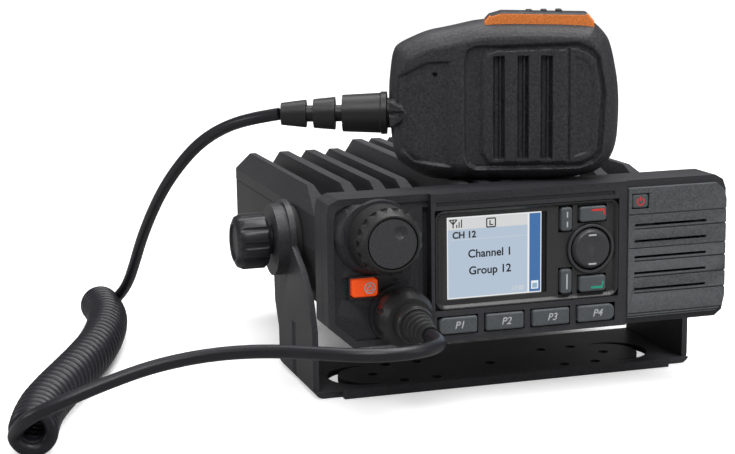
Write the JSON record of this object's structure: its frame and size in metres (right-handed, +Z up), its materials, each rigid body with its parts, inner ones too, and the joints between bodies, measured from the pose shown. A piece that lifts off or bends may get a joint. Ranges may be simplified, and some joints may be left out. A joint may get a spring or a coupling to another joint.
{
  "type": "vehicle two-way radio",
  "caption": "Vehicle-mount two-way radio in a tilting U bracket, with a palm microphone resting on top and joined to the front socket by a curly cord.",
  "frame": {"origin": "centre of the mounting bracket's underside, between its two tilt screws across the width, on the surface it stands on", "axes": "+Z up, the control panel faces -Y, +X to the right seen from the front"},
  "size_m": [0.3212, 0.2748, 0.157],
  "materials": {
    "bracket_black": "satin",
    "cast_black": "black powder coat, fine-textured satin",
    "cover_black": "black coat, satin",
    "head_plastic": "fine-textured",
    "panel_plastic": "semi-gloss",
    "lcd_glass": "clear",
    "lcd_body": "smooth",
    "key_slate": "satin",
    "nav_plastic": "satin",
    "alarm_orange": "satin",
    "grille_grey": "fine-textured",
    "knob_rubber": "satin",
    "knob_face": "satin",
    "grip_plastic": "satin",
    "plug_rubber": "satin",
    "cord_rubber": "satin",
    "washer_rubber": "matte",
    "gasket_rubber": "matte",
    "steel": "satin",
    "dark_steel": "black finish",
    "plated_brass": "plated",
    "socket_plastic": "smooth",
    "board_green": "satin",
    "chip_black": "matte",
    "mic_plastic": "textured",
    "mic_mesh": "fine-textured",
    "ptt_rubber": "satin"
  },
  "bodies": {
    "bracket": {"mounting_bracket": "bracket_black"},
    "thumbscrew_left": {"thumbscrew_left": "grip_plastic"},
    "thumbscrew_right": {"thumbscrew_right": "grip_plastic"},
    "plug_nut": {"plug_nut": "plug_rubber"},
    "knob": {"front_knob": "knob_rubber", "knob_cap": "knob_face"},
    "microphone": {"microphone_front_shell": "mic_plastic", "microphone_rear_shell": "mic_plastic", "microphone_grille": "mic_mesh", "microphone_board": "board_green", "microphone_speaker": "chip_black", "microphone_element": "steel", "ptt_switch": "chip_black", "hanger_button": "plated_brass", "microphone_screws": "dark_steel", "microphone_boot": "plug_rubber"},
    "ptt": {"ptt_button": "ptt_rubber"},
    "key_p1": {"key_p1": "key_slate"},
    "key_p2": {"key_p2": "key_slate"},
    "key_p3": {"key_p3": "key_slate"},
    "key_p4": {"key_p4": "key_slate"},
    "key_left_upper": {"key_left_upper": "key_slate"},
    "key_left_lower": {"key_left_lower": "key_slate"},
    "key_end_call": {"key_end_call": "key_slate"},
    "key_call": {"key_call": "key_slate"},
    "nav_rocker": {"nav_rocker": "nav_plastic"},
    "power_button": {"power_button": "key_slate"},
    "emergency_button": {"emergency_button": "alarm_orange"},
    "radio": {"friction_washer_left": "washer_rubber", "friction_washer_right": "washer_rubber", "upper_chassis": "cast_black", "lower_cover": "cover_black", "rear_panel": "cast_black", "dc_inlet": "socket_plastic", "antenna_socket": "plated_brass", "accessory_socket": "socket_plastic", "rear_screws": "dark_steel", "cover_screws": "dark_steel", "control_head_bezel": "head_plastic", "head_rear_frame": "head_plastic", "head_gasket": "gasket_rubber", "head_back_plate": "head_plastic", "display_panel": "panel_plastic", "lcd_window": "lcd_glass", "lcd_module": "lcd_body", "nav_ring": "nav_plastic", "keypad_mat": "gasket_rubber", "keypad_board": "board_green", "channel_encoder": "steel", "speaker_driver": "chip_black", "speaker_grille": "grille_grey", "mic_socket": "dark_steel", "plug_shell": "plug_rubber", "plug_boot": "plug_rubber", "main_board": "board_green", "rf_shield": "steel", "rf_power_module": "chip_black", "cord_radio_lead": "cord_rubber", "cord_coil": "cord_rubber", "cord_mic_lead": "cord_rubber"}
  },
  "joints": [
    {"name": "radio_tilt", "type": "hinge", "parent": "bracket", "child": "radio", "pos_m": [0, 0.022, 0.059], "axis": [1, 0, 0], "range_deg": [-12, 12]},
    {"name": "left_screw_turn", "type": "hinge", "parent": "radio", "child": "thumbscrew_left", "pos_m": [0, 0.022, 0.059], "axis": [-1, 0, 0], "continuous": true},
    {"name": "right_screw_turn", "type": "hinge", "parent": "radio", "child": "thumbscrew_right", "pos_m": [0, 0.022, 0.059], "axis": [1, 0, 0], "continuous": true},
    {"name": "knob_turn", "type": "hinge", "parent": "radio", "child": "knob", "pos_m": [-0.066, -0.06, 0.0727], "axis": [0, 1, 0], "continuous": true},
    {"name": "plug_nut_turn", "type": "hinge", "parent": "radio", "child": "plug_nut", "pos_m": [-0.058, -0.06, 0.0405], "axis": [0, 1, 0], "continuous": true},
    {"name": "microphone_lift", "type": "slide", "parent": "radio", "child": "microphone", "axis": [0, 0, 1], "range_m": [0, 0.03]},
    {"name": "ptt_press", "type": "slide", "parent": "microphone", "child": "ptt", "axis": [0, 0, -1], "range_m": [0, 0.0012], "stiffness_N_per_m": 1500, "springref_m": -0.0008},
    {"name": "nav_rock", "type": "hinge", "parent": "radio", "child": "nav_rocker", "pos_m": [0.0239, -0.0555, 0.0613], "axis": [1, 0, 0], "range_deg": [-3, 3], "stiffness_Nm_per_rad": 0.25},
    {"name": "key_p1_press", "type": "slide", "parent": "radio", "child": "key_p1", "axis": [0, 1, 0], "range_m": [0, 0.001], "stiffness_N_per_m": 1200, "springref_m": -0.0005},
    {"name": "key_p2_press", "type": "slide", "parent": "radio", "child": "key_p2", "axis": [0, 1, 0], "range_m": [0, 0.001], "stiffness_N_per_m": 1200, "springref_m": -0.0005},
    {"name": "key_p3_press", "type": "slide", "parent": "radio", "child": "key_p3", "axis": [0, 1, 0], "range_m": [0, 0.001], "stiffness_N_per_m": 1200, "springref_m": -0.0005},
    {"name": "key_p4_press", "type": "slide", "parent": "radio", "child": "key_p4", "axis": [0, 1, 0], "range_m": [0, 0.001], "stiffness_N_per_m": 1200, "springref_m": -0.0005},
    {"name": "key_left_upper_press", "type": "slide", "parent": "radio", "child": "key_left_upper", "axis": [0, 1, 0], "range_m": [0, 0.001], "stiffness_N_per_m": 1200, "springref_m": -0.0005},
    {"name": "key_left_lower_press", "type": "slide", "parent": "radio", "child": "key_left_lower", "axis": [0, 1, 0], "range_m": [0, 0.001], "stiffness_N_per_m": 1200, "springref_m": -0.0005},
    {"name": "key_end_call_press", "type": "slide", "parent": "radio", "child": "key_end_call", "axis": [0, 1, 0], "range_m": [0, 0.001], "stiffness_N_per_m": 1200, "springref_m": -0.0005},
    {"name": "key_call_press", "type": "slide", "parent": "radio", "child": "key_call", "axis": [0, 1, 0], "range_m": [0, 0.001], "stiffness_N_per_m": 1200, "springref_m": -0.0005},
    {"name": "power_button_press", "type": "slide", "parent": "radio", "child": "power_button", "axis": [0, 1, 0], "range_m": [0, 0.001], "stiffness_N_per_m": 1200, "springref_m": -0.0005},
    {"name": "emergency_button_press", "type": "slide", "parent": "radio", "child": "emergency_button", "axis": [0, 1, 0], "range_m": [0, 0.001], "stiffness_N_per_m": 1200, "springref_m": -0.0005}
  ]
}
